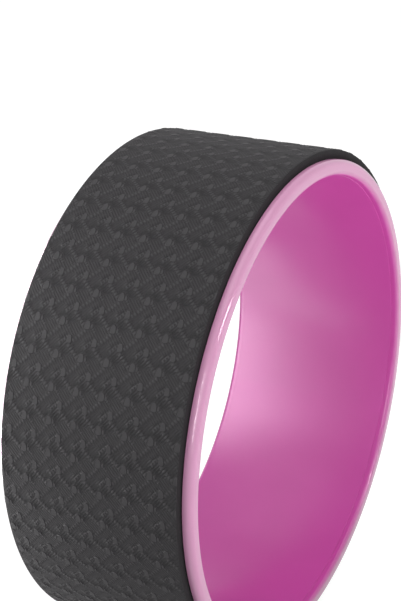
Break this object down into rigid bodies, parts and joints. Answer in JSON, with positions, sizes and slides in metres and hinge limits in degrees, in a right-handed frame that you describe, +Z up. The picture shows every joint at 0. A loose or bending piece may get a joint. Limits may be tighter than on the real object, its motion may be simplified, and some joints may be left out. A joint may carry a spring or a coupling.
{
  "type": "yoga wheel",
  "caption": "Standing yoga wheel: a wide glossy plastic hoop with raised round lips and an embossed non-slip foam tread between them, for back stretches and balance work.",
  "frame": {"origin": "centre of the wheel, on its axis, midway between the end faces", "axes": "+Y along the wheel's axis, +Z up as it stands on its tread, and the end seen in the picture is at -Y"},
  "size_m": [0.33, 0.13, 0.33],
  "materials": {
    "hoop_plastic": "smooth glossy pink moulded plastic",
    "bonding_film": "thin pale contact adhesive",
    "tread_foam": "dark grey closed-cell foam with an embossed woven-look skin"
  },
  "bodies": {
    "root": {"rim_hoop": "hoop_plastic", "adhesive_film": "bonding_film", "tread_strip": "tread_foam"}
  },
  "joints": []
}
